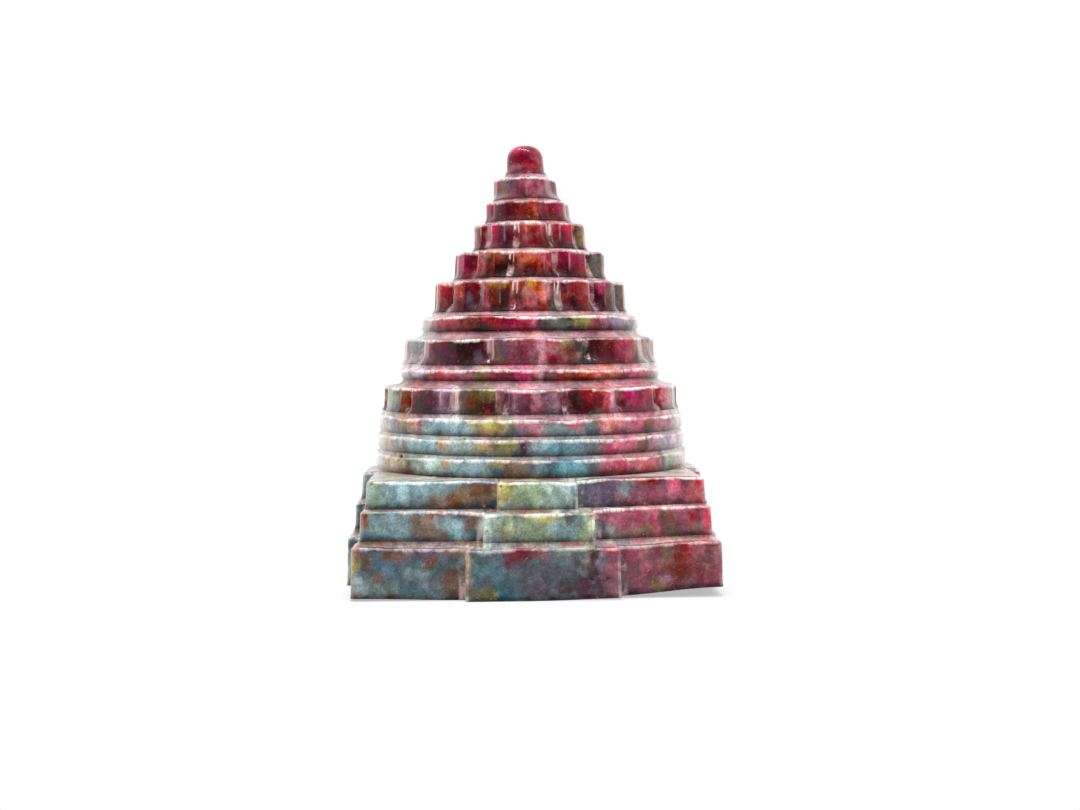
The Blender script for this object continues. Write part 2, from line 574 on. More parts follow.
# The larger marks in the stone of the front, from the ground up. Each holds its middle to the right of the
# axis, its half width, the part of the level's height that it covers if that isn't all, and its colour.
MARKS = {
    "bhupura_lower": [
        (-29.5, 0.9, 0.5, 0.9, OLIVE), (-29, 0.6, 0.8, 0.95, RED_BROWN), (-22, 4, 0.3, 0.7, BLUE_GREY),
        (-24.5, 1.6, 0.5, 0.66, DENIM), (-26.5, 1.3, 0.12, 0.35, STEEL), (-19.3, 1.6, 0.35, 0.52, STEEL),
        (-22.8, 1.3, 0.7, 0.9, BROWN), (-16.6, 1, 0.56, 0.74, BROWN), (-17, 3, 0.78, 1, GREY_PURPLE),
        (-25.5, 0.9, 0.3, 0.42, UMBER), (-23.8, 0.7, 0, 0.14, BROWN), (-13.2, 1.5, 0, 0.6, BROWN),
        (-20, 2.5, 0.05, 0.3, BLUE_GREY), (-13, 1.2, 0.8, 1, UMBER), (-11.2, 0.4, 0.3, 1, OCHRE),
        (-10.6, 0.6, 0.14, 0.3, RUST), (-5, 2.6, 0.1, 0.42, TEAL), (-8.5, 2, 0.45, 0.6, BLUE_GREY),
        (-9.5, 1.5, 0.75, 1, SLATE), (-7, 3.5, 0.2, 0.8, BLUE_GREY), (-8.3, 1.3, 0, 0.2, OLIVE),
        (-2.4, 2.4, 0.62, 1, WINE), (0.2, 1.4, 0.7, 0.95, OLD_ROSE), (0.6, 1.1, 0.4, 0.6, PURPLE),
        (0.5, 2.4, 0.1, 0.6, SLATE), (5.5, 2.5, 0.6, 1, GREEN_GREY), (6.5, 4.5, 0, 0.5, PLUM),
        (4, 2.5, 0.3, 0.8, SLATE), (9.3, 1, 0.65, 1, BARK), (12, 1.4, 0, 0.9, OLD_ROSE),
        (11.9, 1, 0.8, 1, RASPBERRY), (15.6, 1.4, 0.3, 0.9, OLD_ROSE), (17, 2.5, 0, 0.6, OLD_ROSE),
        (17.3, 0.6, 0.3, 1, PALE_ROSE), (20, 1.2, 0, 0.25, OLIVE), (21.3, 1, 0.15, 0.35, LAVENDER),
        (24, 5, 0.2, 0.95, ROSEWOOD), (23.4, 2.2, 0.25, 0.75, RED_BROWN), (20.4, 0.9, 0.5, 0.9, UMBER),
        (23, 7, 0.9, 1, DUSKY_PINK), (29.4, 0.8, OLD_ROSE), (27, 1.5, 0.3, 0.8, OLD_ROSE),
        (25, 3, 0, 0.15, OLD_ROSE),
    ],
    "bhupura_middle": [
        (-21, 7, STEEL), (-27.4, 0.8, 0.5, 1, RUST), (-27.3, 0.4, 0.65, 0.9, RED_BROWN),
        (-17, 2, 0, 0.75, UMBER), (-15.4, 1.5, 0.72, 1, RUST), (-14.8, 0.7, 0.8, 1, RED_BROWN),
        (-13, 2, 0.1, 0.7, PALE_BLUE), (-24, 1.6, 0.3, 0.7, PALE_BLUE), (-10.4, 1.2, 0.4, 1, UMBER),
        (-6.8, 2, ICE), (-4.8, 1.3, 0.1, 0.6, TAN), (1, 5, SAGE), (1, 3, 0.7, 1, SAGE_YELLOW),
        (4.5, 2.5, 0.2, 0.6, PALE_BLUE), (8.2, 1.2, SAGE), (10.8, 1, 0.2, 1, NAVY),
        (12.5, 1.3, 0, 0.4, ICE), (15.5, 2.5, 0.3, 1, PALE_ROSE), (14, 2, 0, 0.6, MAUVE),
        (17.5, 2.5, 0, 0.6, OLD_ROSE), (23.5, 2.5, OLD_ROSE), (18, 6.5, 0.72, 1, PINK),
        (19, 6, 0, 0.25, UMBER), (19.3, 0.5, 0.1, 1, PINK), (20.9, 0.9, 0.5, 0.8, BROWN),
        (24, 1.5, 0.3, 0.7, OLD_ROSE), (25.3, 1.2, 0.4, 1, ROSEWOOD), (27.4, 0.8, 0.1, 1, DUSKY_PINK),
    ],
    "bhupura_upper": [
        (-26, 1.5, SAGE), (-19, 6, 0.1, 1, STEEL), (-20.5, 4, 0.45, 0.8, PALE_BLUE),
        (-15, 2.4, 0.05, 0.4, UMBER), (-12.6, 0.8, 0.1, 0.5, RUST), (-9.5, 2.4, 0.2, 0.9, UMBER),
        (-8.2, 1.2, 0.5, 0.85, BROWN), (-11.4, 0.7, 0.3, 0.6, TAN), (-6.2, 0.25, TAN),
        (-4.2, 1.6, 0.1, 0.9, SAGE_YELLOW), (0, 3, SAGE), (4, 2.5, ICE), (8, 1.2, SLATE),
        (11.5, 2.5, GREY_PURPLE), (14.6, 0.9, 0.3, 0.8, STEEL), (17.5, 2, 0.75, 1, ROSEWOOD),
        (17, 3, 0, 0.5, OLD_ROSE), (20.5, 2.5, OLD_ROSE), (20.5, 4.5, 0.84, 1, RED_BROWN),
        (18.5, 1.4, 0.3, 0.7, MAUVE), (21.6, 1.1, 0.4, 1, PINK), (24.3, 1.1, 0.3, 1, OLD_ROSE),
        (26, 1.2, DUSKY_PINK),
    ],
    "circle_lower": [
        (-24, 3, TAN), (-19.8, 1.2, 0.2, 0.7, BROWN), (-16, 3.5, ICE), (-14.5, 0.6, 0.5, 0.9, OCHRE),
        (-10, 3, PALE_BLUE), (-6, 1.8, 0.5, 1, OLIVE), (-2.5, 2, 0, 0.8, UMBER), (4, 2, DEEP_TEAL),
        (6.5, 2.2, BRIGHT_BLUE), (9.5, 1.3, SLATE), (14, 2.8, 0.2, 1, PINK), (13, 2, 0, 0.35, ROSEWOOD),
        (18.3, 2, DUSKY_PINK), (20.5, 1.2, 0.3, 0.8, PALE_ROSE), (23.8, 2, SAGE),
    ],
    "circle_middle": [
        (-25, 1.5, TAN), (-18.5, 3.5, PALE_BLUE), (-14.8, 0.9, 0.3, 1, OCHRE), (-11.5, 2, ICE),
        (-8.7, 1.2, TAN), (-4.6, 2.2, 0.1, 1, OLIVE), (-1.2, 1.2, PLUM), (1.2, 1.5, STEEL),
        (6, 2.6, BRIGHT_BLUE), (9.6, 1.2, SLATE), (14, 3, PINK), (18.2, 1.2, BROWN), (23, 2.5, LAVENDER),
    ],
    "circle_upper": [
        (-21.5, 1.6, 0.2, 1, TAN), (-14, 3.5, 0.1, 1, PALE_BLUE), (-7, 2.8, 0.3, 1, SAGE_YELLOW),
        (0, 3, MAUVE), (3.5, 2, 0, 0.5, STEEL), (7, 1.2, 0.4, 0.9, PINK), (9, 1.5, 0, 0.6, SLATE),
        (12.5, 2, 0.3, 1, PALE_SALMON), (16.5, 2.5, PINK), (19.5, 1, 0, 0.5, BROWN), (22, 2, MAUVE),
    ],
    "sixteen_petal_lotus": [
        (-24.8, 2.2, SAGE), (-21.6, 0.9, RUST), (-19.2, 1.6, 0.2, 1, RED_BROWN), (-18, 2.2, 0, 0.5, BARK),
        (-16.2, 1.5, 0.1, 1, PLUM), (-14, 1.5, GREY_LILAC), (-12.8, 0.5, HAZE), (-11.6, 0.6, GREEN_GREY),
        (-9.7, 1.4, MOSS), (-7.2, 1.5, 0, 0.9, BARK), (-7.6, 1.2, 0.5, 1, OLIVE), (-5.2, 0.8, UMBER),
        (-3.6, 1.5, 0.3, 1, MAUVE), (-2.6, 1.6, 0, 0.6, PURPLE), (-0.8, 1.1, 0.5, 1, PINK),
        (0.3, 0.8, BLUSH), (1.4, 0.35, 0.5, 1, RED_ORANGE), (2.8, 1.7, GREY_LILAC),
        (3.4, 0.7, 0.5, 0.9, PALE_ROSE), (5.4, 0.9, OLD_ROSE), (8.2, 2.3, 0.3, 1, CRIMSON),
        (7.4, 2.2, 0, 0.5, MAROON), (6.6, 0.8, 0.3, 0.9, BARK), (9.9, 1.3, 0.65, 1, RED_ORANGE),
        (11.9, 0.7, DUSKY_PINK), (13.4, 0.9, BLUSH), (14.6, 0.9, 0, 0.9, ROSEWOOD),
        (16.4, 1.3, 0.2, 1, MAGENTA), (18.9, 1.8, RASPBERRY), (20.3, 0.9, 0.4, 1, RED_ORANGE),
        (21.6, 0.7, CRIMSON), (23.4, 1.2, BLUSH), (24.6, 1.2, 0, 0.8, TAN),
    ],
    "petal_circle": [
        (-19.5, 2, LAVENDER), (-15, 2.5, DUSKY_PINK), (-11.3, 1.5, MAUVE), (-8.6, 0.9, OLIVE),
        (-5.5, 2.2, RASPBERRY), (-2.2, 1.2, MAGENTA), (0.9, 0.7, BLUSH), (2.4, 0.8, OLD_ROSE),
        (4.6, 1.6, ROSEWOOD), (8.5, 3, RED_ORANGE), (8, 0.6, 0.3, 0.8, SALMON), (12.5, 2, SALMON),
        (15, 1, RED_BROWN), (18, 2.5, PINK),
    ],
    "eight_petal_lotus": [
        (-20.5, 1.8, STEEL), (-16.4, 2.2, MAROON), (-17.6, 0.8, 0.2, 1, MAUVE),
        (-14.5, 1.5, 0.6, 1, RED_BROWN), (-13.5, 2.5, 0, 0.6, PLUM), (-10, 2.7, BARK),
        (-9.5, 2, 0.85, 1, ROSEWOOD), (-9.4, 0.6, 0.1, 0.4, GREY_PURPLE), (-6, 1.4, 0.5, 1, OLD_ROSE),
        (-5.8, 1.2, 0, 0.55, UMBER), (-4.2, 1, 0.2, 0.8, GREY_PURPLE), (-2.4, 1.4, 0.4, 1, PALE_ROSE),
        (-2, 1.6, 0, 0.5, OLD_ROSE), (0.4, 0.5, 0.6, 1, PALE_SALMON), (-0.4, 0.8, 0, 0.5, MAUVE),
        (3, 1.6, 0.2, 1, PALE_ROSE), (1.3, 0.55, BLUSH), (2.6, 0.5, 0.5, 1, DUSKY_PINK),
        (4, 1.6, 0, 0.35, ROSEWOOD), (5.8, 1.5, 0.3, 1, UMBER), (5.4, 0.6, 0.6, 0.9, TAN),
        (6.8, 1.2, 0, 0.5, RED_BROWN), (9.2, 1.6, BARK), (11.4, 1.4, 0.2, 1, MAROON),
        (13.2, 1.1, 0.7, 1, RED_ORANGE), (12.8, 1.2, 0, 0.6, WINE), (15.2, 1.3, 0, 0.9, RASPBERRY),
        (16.4, 0.8, 0.1, 1, DUSKY_PINK), (17.6, 0.5, 0.3, 1, PALE_SALMON), (19.8, 1.6, SAGE),
    ],
    "upper_circle": [
        (-17.3, 1.5, MAUVE), (-14, 2, DUSKY_PINK), (-10.2, 1.6, 0.2, 1, RED_BROWN),
        (-8, 1.2, 0, 0.45, BARK), (-5.5, 2.2, 0.2, 1, CRIMSON), (-2.3, 2.2, 0.1, 1, RASPBERRY),
        (0.4, 0.6, 0.3, 1, PINK), (1.6, 0.9, 0, 0.9, PLUM), (4.6, 2.2, GREEN_GREY),
        (7.8, 1.6, 0.3, 1, OLIVE), (11.2, 1.3, ROSEWOOD), (14.6, 2, LAVENDER),
    ],
    "fourteen_point_tier": [
        (-15.6, 1.2, 0.2, 1, RED_ORANGE), (-14.2, 1.4, 0.2, 0.9, CRIMSON), (-14, 1.4, 0, 0.35, MAROON),
        (-12.8, 0.4, 0.3, 1, DUSKY_PINK), (-12, 0.35, 0.3, 1, SALMON), (-10.3, 1.7, MAROON),
        (-9.2, 0.8, 0.5, 0.95, CRIMSON), (-10.7, 0.4, 0.15, 0.5, GREY_PURPLE), (-7.5, 0.4, PINK),
        (-5.1, 1.9, 0, 0.85, BARK), (-5.8, 1.6, 0.82, 1, OCHRE), (-6.2, 0.8, 0.2, 0.6, RED_BROWN),
        (-2.2, 0.9, 0.55, 1, SALMON), (-1.2, 0.9, 0.3, 0.7, RED_BROWN), (-2.4, 1, 0, 0.25, MAUVE),
        (0.2, 1.1, 0.2, 0.8, PALE_SALMON), (0.3, 0.8, 0.7, 1, OCHRE), (0.5, 0.6, 0, 0.4, PINK),
        (1.6, 0.6, SALMON), (2.7, 0.8, 0.4, 1, PALE_SALMON), (4.1, 0.9, PALE_ROSE),
        (3.8, 0.8, 0, 0.5, GREEN_GREY), (5.8, 1, 0.3, 1, ROSEWOOD), (6.8, 1.1, 0, 0.5, BARK),
        (8.6, 1.4, 0.3, 1, CRIMSON), (9.4, 0.5, 0, 0.35, RED_ORANGE), (11.4, 1, 0, 0.8, PLUM),
        (12.2, 1, 0.55, 1, MAGENTA), (13.3, 0.5, 0, 0.5, BROWN), (15, 1.1, GREEN_GREY),
    ],
    "outer_ten_point_tier": [
        (-12, 1.4, 0.1, 1, MAGENTA), (-10.4, 0.9, 0.3, 1, WINE), (-8.6, 0.8, DUSKY_PINK),
        (-7.3, 0.6, 0.7, 1, SAGE), (-5.4, 1.9, 0, 0.75, BARK), (-5.5, 1.2, 0.6, 1, RED_ORANGE),
        (-6.9, 0.5, 0, 0.5, RED_BROWN), (-3, 0.6, 0, 0.5, BARK), (-1.2, 1.6, 0.35, 1, SALMON),
        (-1.2, 1.6, 0, 0.35, RED_BROWN), (1.1, 0.4, 0, 0.9, RED_ORANGE), (3, 1.3, 0.3, 1, DUSKY_PINK),
        (3.4, 1.2, 0, 0.3, WINE), (7.2, 1.9, 0.2, 1, RASPBERRY), (5.9, 1, 0, 0.4, MAROON),
        (8.8, 0.6, 0, 0.4, CRIMSON), (11.4, 1.2, GREEN_GREY),
    ],
    "inner_ten_point_tier": [
        (-9.2, 0.9, RED_BROWN), (-8.3, 0.5, MAROON), (-7.2, 0.4, PINK), (-5.7, 1, 0.2, 1, RASPBERRY),
        (-4.3, 1, 0, 0.8, PLUM), (-0.9, 1.5, 0.55, 1, RED_ORANGE), (0.2, 0.6, 0.8, 1, OCHRE),
        (-1.2, 1.4, 0, 0.5, ROSEWOOD), (1.2, 0.3, 0, 0.7, CRIMSON), (3.2, 1.2, 0.3, 1, DUSKY_PINK),
        (3.3, 1.2, 0, 0.35, RED_BROWN), (5.9, 1, RASPBERRY), (5.4, 0.5, 0, 0.5, MAROON),
        (8.3, 0.8, 0, 0.8, OLIVE), (7.8, 0.5, 0.6, 1, RED_BROWN),
    ],
    "eight_point_tier": [
        (-6.5, 1.2, 0.2, 1, RASPBERRY), (-3.7, 1.9, MAROON), (-1.5, 0.9, RED_BROWN),
        (0.1, 0.5, RED_ORANGE), (1.1, 0.4, SALMON), (2.4, 0.6, 0, 0.7, MAUVE),
        (4.6, 1.6, 0.2, 1, RASPBERRY), (4.4, 1.6, 0, 0.25, RED_BROWN),
    ],
    "triangle_tier": [
        (-6.3, 1.1, ROSEWOOD), (-4.5, 1.2, UMBER), (-2.7, 1, PURPLE), (-0.7, 0.8, 0.4, 1, MAUVE),
        (-0.5, 0.5, 0, 0.45, MAROON), (1.6, 1.6, MAUVE), (3.6, 1.2, PALE_ROSE),
    ],
    "bindu_dome": [
        (-1, 3.2, 0.3, 0.9, WINE), (-1.4, 1.3, 0.75, 1, RASPBERRY), (-1.8, 1.3, 0, 0.25, MAUVE),
        (0.6, 1, 0, 0.25, DUSKY_PINK), (2, 0.8, 0.2, 0.6, ROSEWOOD),
    ],
}
MARK_DEPTH = 4.5
MARK_STRENGTH = 0.9


def ground_colour(points):
    """Colour of the block under its marks: blue-grey low on the left, red low on the right, maroon above."""
    x, y, z = np.moveaxis(points, -1, 0)
    drift = cloud(points, 9, 5, 4)
    fine = cloud(points, 3.5, 25)
    colour = mix(DEEP_TEAL, STEEL, smooth(-0.5, 0.6, drift + 0.7 * fine))
    colour = mix(colour, SAGE, smooth(0.15, 0.9, cloud(points, 11, 35) + 0.015 * y))
    colour = mix(colour, GREY_PURPLE, 0.55 * smooth(0.1, 0.8, cloud(points, 4.5, 65)))
    colour = mix(colour, BROWN, 0.75 * smooth(0.3, 0.85, cloud(points, 4.5, 45)))
    red = mix(OLD_ROSE, mix(GREY_PURPLE, PALE_ROSE, smooth(-0.2, 0.8, fine)), smooth(-0.2, 0.7, drift))
    colour = mix(colour, red, smooth(3, 15, x + 5 * drift + 0.15 * y))
    deep = mix(MAROON, ROSEWOOD, smooth(-0.5, 0.5, drift + 0.5 * fine))
    deep = mix(deep, DUSKY_PINK, 0.7 * smooth(0.2, 0.9, fine))
    deep = mix(deep, CRIMSON, 0.8 * smooth(0.2, 0.8, cloud(points, 4, 55)))
    deep = mix(deep, BARK, 0.6 * smooth(0.3, 0.9, cloud(points, 3, 85)))
    colour = mix(colour, deep, smooth(25, 31, z + 3 * fine))
    green = smooth(0.1, 0.8, cloud(points, 8, 65) + 0.03 * y + 0.02 * x - 0.1)
    return mix(colour, mix(GREEN_GREY, SAGE, smooth(-0.4, 0.6, fine)), green)


def stone_colour(points):
    """Colour of the stone at each point, from the ground colour and the marks."""
    warp = np.stack([cloud(points, 3.4, seed, 4) for seed in (71, 81, 91)], -1)
    warp *= (0.75 - 0.3 * smooth(16, 30, points[..., 2]))[..., None]
    ragged = 0.42 * cloud(points, 1.5, 101)
    colour = ground_colour(points)
    for name in MARKS:
        low, high = height_span(name)
        near = np.abs(points[..., 2] - (low + high) / 2) < (high - low) / 2 + 2
        if near.any():
            colour[near] = marked(name, points[near], warp[near], ragged[near], colour[near])
    veil = smooth(-0.5, 0.8, cloud(points, 2.2, 111, 4))
    return colour * (0.74 + 0.48 * veil)[..., None]


def marked(name, spots, warp, ragged, colour):
    """Colour with a level's marks laid over it in turn, each with a bent and ragged rim."""
    low, high = height_span(name)
    for x, half, *part, tint in MARKS[name]:
        start, end = part or (0, 1)
        middle = np.array([x, front_wall(name, x), low + (high - low) * (start + end) / 2])
        size = np.array([1.2 * half, MARK_DEPTH, (high - low) * (end - start) / 2 + 0.3])
        bent = spots + min(1, 0.25 + half / 2) * warp
        away = (np.abs((bent - middle) / size) ** 3).sum(-1) ** (1 / 3) + ragged
        colour = mix(colour, tint, MARK_STRENGTH * (1 - smooth(0.5, 1.4, away)))
    return colour


# Levels that are paler where they turn away to the left and right, and the level with the widest tread.
PALE_ENDS = [*CIRCLES, "eight_petal_lotus"]
WIDE_TREAD = "bhupura_upper"


def weathered(name, points, colour, parts):
    """Colour with dark feet and creases, paler edges, dusty treads, pale ends and dark chips."""
    above_foot = points[..., 2] - height_span(name)[0]
    foot = 0.2 + 0.8 * smooth(-0.3, 1.3, above_foot + 0.25 * noise(points, 2, SEED + 40))
    part = np.broadcast_to(parts[:, None], foot.shape)
    tread = np.clip(part - 1, 0, 1)
    wall = foot * (0.78 + 0.36 * np.minimum(part, 1))
    crease = 1 - 0.4 * smooth(0.75, 1, tread)
    colour = colour * np.where(part > 1, 1.08 * crease, wall)[..., None]
    colour = dusted(name, points, colour, tread)
    if name in PALE_ENDS:
        side = np.abs(np.arctan2(points[..., 0], -points[..., 1])) + 0.1 * cloud(points, 3, SEED + 43)
        end = smooth(0.9, 1.3, side) * (1 - smooth(1.5, 1.9, side))
        mottled = 0.3 + 0.35 * smooth(-0.5, 0.6, cloud(points, 2.5, SEED + 44))
        colour = mix(colour, HAZE, mottled * end * foot)
    for chip in CHIPS:
        colour = mix(colour, CHIP_DARK, 0.85 * chip_share(points, *chip))
    return colour


def dusted(name, points, colour, tread):
    """Treads with pale haze, and low down with smears that are rust on the left and red on the right."""
    wide = name == WIDE_TREAD
    haze = smooth(0, 0.2, tread) * (0.3 + 0.35 * smooth(-0.5, 0.5, cloud(points, 3, SEED + 42)))
    haze *= (1.1 if wide else 0.62) * (1 - smooth(0.75, 1, tread))
    pale = CREAM if wide else mix(HAZE, ROSE_HAZE, smooth(24, 32, points[..., 2]))
    left = 1 - smooth(-9, 4, points[..., 0])
    smear = smooth(0, 0.6, cloud(points, 4, SEED + 41, 4) + (0.75 if wide else 0.25) * left)
    smear *= smooth(0, 0.25, tread) * (1 - smooth(18, 24, points[..., 2]))
    return mix(mix(colour, pale, haze), mix(ROSEWOOD, RUST, left), 0.68 * smear)


# Light inside the stone's corners, and how dark the faces between them are. The low rings are paler, and the
# stars and the base deeper, than the stone around them.
GLOW_WINDOWS = (0.4, 0.8, 1.2, 1.7)
GLOW_TINT = np.array([1.42, 1.38, 1.36])
FACE_SHADE = 0.86
STAR_FACE_SHADE = 0.76
RING_TONE = 1.25
STAR_TONE = np.array([0.93, 0.82, 0.83])
BASE_TONE = np.array([0.97, 0.91, 0.91])
WIDE_RING = 26


def tone(name):
    if name == FROM_THE_GROUND[0]:
        return BASE_TONE
    if name in STARS:
        return STAR_TONE
    return RING_TONE if name in CIRCLES and CIRCLES[name].reach > WIDE_RING else 1


def wall_light(name, points, parts):
    """How bright the walls are: darker on their faces and brighter near their corners."""
    glow = np.zeros(points.shape[:2])
    for row, line in enumerate(points):
        for window in GLOW_WINDOWS:
            glow[row] += smooth(0.5, 1.2, row_turn(line, window) * 2 * window) / len(GLOW_WINDOWS)
    glow = glow[..., None]
    face = STAR_FACE_SHADE if name in STARS else FACE_SHADE
    shade = (face * (1 - glow) + GLOW_TINT * glow) * tone(name)
    return np.where((parts <= 1)[:, None, None], shade, 1)


def row_turn(line, window):
    """How fast a closed row of points turns left, in radians for each mm, over a window to both sides."""
    step = np.diff(np.vstack([line, line[:1]])[:, :2], axis=0)
    length = np.hypot(step[:, 0], step[:, 1])
    heading = np.unwrap(np.arctan2(step[:, 1], step[:, 0]))
    spots = np.cumsum(length) - length
    place = spots + length / 2
    total = length.sum()
    places = np.concatenate([place - total, place, place + total])
    headings = np.concatenate([heading - TURN, heading, heading + TURN])
    ahead = np.interp(spots + window, places, headings)
    return (ahead - np.interp(spots - window, places, headings)) / (2 * window)


# Meshes

def stone_mesh(name, columns, points, colour, drops, parts):
    """Closed mesh of a grid, with a flat foot and a flat top, and its marks as attributes."""
    rows, count = points.shape[:2]
    spots = np.clip(points.reshape(-1, 3), *(np.array(corner) / MM for corner in CAD_BOX))
    crown = [spots[-count:, 0].mean(), spots[-count:, 1].mean(), spots[-1, 2]]
    if name == TOP:
        crown[2] = CAD_BOX[1][2] / MM - TOP_CLEARANCE
    spots = np.vstack([spots, [0, 0, spots[0, 2]], crown]) * MM
    mesh = bpy.data.meshes.new(name)
    mesh.from_pydata(spots.tolist(), [], closed_faces(rows, count))
    curved = np.ones(len(mesh.polygons), dtype=bool)
    curved[-2 * count:] = False
    curved[-count:] = name == TOP
    mesh.polygons.foreach_set("use_smooth", curved)
    add_colour(mesh, "stone", colour)
    add_colour(mesh, "marks", wheel_marks(name, columns, drops))
    add_colour(mesh, "wear", corner_wear(points, parts))
    return mesh


def closed_faces(rows, count):
    """Faces of a grid: quads, then a fan under the foot and one over the top."""
    row, column = np.meshgrid(np.arange(rows - 1), np.arange(count), indexing="ij")
    here = row * count + column
    beside = row * count + (column + 1) % count
    quads = np.stack([here, beside, beside + count, here + count], -1).reshape(-1, 4)
    first = np.arange(count)
    following = (first + 1) % count
    last = (rows - 1) * count
    foot = np.stack([np.full(count, rows * count), following, first], -1)
    lid = np.stack([np.full(count, rows * count + 1), last + first, last + following], -1)
    return quads.tolist() + foot.tolist() + lid.tolist()


def add_colour(mesh, label, values):
    """Colour attribute on the points. The two cap middles take the values of their rims."""
    flat = values.reshape(-1, values.shape[-1])
    flat = np.vstack([flat, flat[0], flat[-1]])
    if flat.shape[1] == 3:
        flat = np.hstack([flat, np.ones((len(flat), 1))])
    layer = mesh.attributes.new(label, "FLOAT_COLOR", "POINT")
    layer.data.foreach_set("color", flat.ravel().astype(np.float32))


def corner_wear(points, parts):
    """How sharply the wall turns outwards (red) and inwards (green) along each row. Blue marks the treads."""
    result = np.zeros((*points.shape[:2], 3))
    for row, line in enumerate(points):
        result[row, :, 0] = smooth(0.7, 1.8, row_turn(line, 0.3))
        result[row, :, 1] = smooth(0.15, 0.6, -row_turn(line, 0.8))
        result[row, :, 2] = smooth(1, 1.2, parts[row])
    return result


# Front valleys in which the wheel left scratches, counted from the first to the right of the front point,
# and the share of the valleys round the sides and back that have them too.
SCRATCHED_VALLEYS = {
    "fourteen_point_tier": (0, 13), "outer_ten_point_tier": (9,), "inner_ten_point_tier": (0, 9),
}
SCRATCHED_SHARE = 0.35
FRONT_VALLEYS = 2
VALLEY_REACH = 1.5

# The marks attribute holds distances as values between 0 and 1. These are the lengths that fill that range.
ACROSS_RANGE = 4
DROP_RANGE = 10


def wheel_marks(name, columns, drops):
    """The nearest valley of each point: how far across it is, how near, how deep, and its wheel scratches."""
    across, near, chance = np.zeros((3, len(columns)))
    if name in STARS:
        rng = np.random.default_rng(SEED + len(name))
        listed = SCRATCHED_VALLEYS.get(name, ())
        for index, valley in enumerate(valley_bearings(STARS[name])):
            away = across_valley(columns, valley, STARS[name])
            close = np.abs(away) < VALLEY_REACH
            across[close] = away[close]
            near[close] = 1 - smooth(0.9, 1.4, np.abs(away[close]))
            behind = FRONT_VALLEYS <= index < STARS[name].points - FRONT_VALLEYS
            lucky = rng.uniform() < SCRATCHED_SHARE and bool(listed) and behind
            strength = rng.uniform(0.3, 1)
            chance[close] = strength if index in listed or lucky else 0
    marks = (across / ACROSS_RANGE + 0.5, near, np.clip(drops / DROP_RANGE + 0.5, 0, 1), chance)
    return np.stack(np.broadcast_arrays(*marks), -1)


# Material

class Nodes:
    """Small helper that adds and joins shader nodes. Its noise reads the place called spot, in mm."""

    def __init__(self, tree):
        self.tree = tree
        self.spot = None
        tree.nodes.clear()

    def add(self, kind, inputs=(), **settings):
        """New node. Its inputs are values or outputs, by name or by place."""
        node = self.tree.nodes.new("ShaderNode" + kind)
        for key, value in settings.items():
            setattr(node, key, value)
        for key, value in dict(inputs).items():
            self.put(value, node.inputs[key])
        return node

    def put(self, value, socket):
        if hasattr(value, "is_output"):
            self.tree.links.new(value, socket)
        elif isinstance(value, np.ndarray):
            socket.default_value = (*value.tolist(), 1)
        else:
            socket.default_value = value

    def math(self, operation, *values, clamp=False):
        return self.add("Math", enumerate(values), operation=operation, use_clamp=clamp).outputs[0]

    def times(self, first, second):
        return self.math("MULTIPLY", first, second)

    def distance(self, first, second):
        return self.math("ABSOLUTE", self.math("SUBTRACT", first, second))

    def ramp(self, value, low, high, start=0, end=1):
        limits = enumerate((value, low, high, start, end))
        return self.add("MapRange", limits, interpolation_type="SMOOTHSTEP").outputs[0]

    def blend(self, share, first, second):
        return self.add("Mix", {0: share, 6: first, 7: second}, data_type="RGBA").outputs[2]

    def stain(self, colour, tint, share, strength):
        return self.blend(self.times(share, strength), colour, tint)

    def noise(self, size, detail=2, roughness=0.5, distortion=0, spot=None):
        """Noise between 0 and 1 with lumps about size mm wide."""
        return self.add("TexNoise", {"Vector": spot or self.spot, "Scale": 1 / size, "Detail": detail,
                                     "Roughness": roughness, "Distortion": distortion}).outputs["Fac"]

    def split(self, colour):
        return self.add("SeparateColor", {0: colour}).outputs[:3]

    def split_place(self, place):
        return self.add("SeparateXYZ", {0: place}).outputs[:3]


BUMP_DEPTH = 0.048
TREAD_COAT = 0.5
CRACK_MIDDLE = 9
CRACK_HALF = 3
CRACK_HEIGHT = 3.4
CRACK_WANDER = 2.4
GATE_FRONT = -31
BASE_TOP = 8.6
VEIN_CELL = 6.5
VEINS_FROM = (10, 16)

# Scratches of the wheel: place across the valley, half width, and length.
WHEEL_LINES = ((-0.42, 0.2, 1.2), (0.36, 0.2, 1.7))


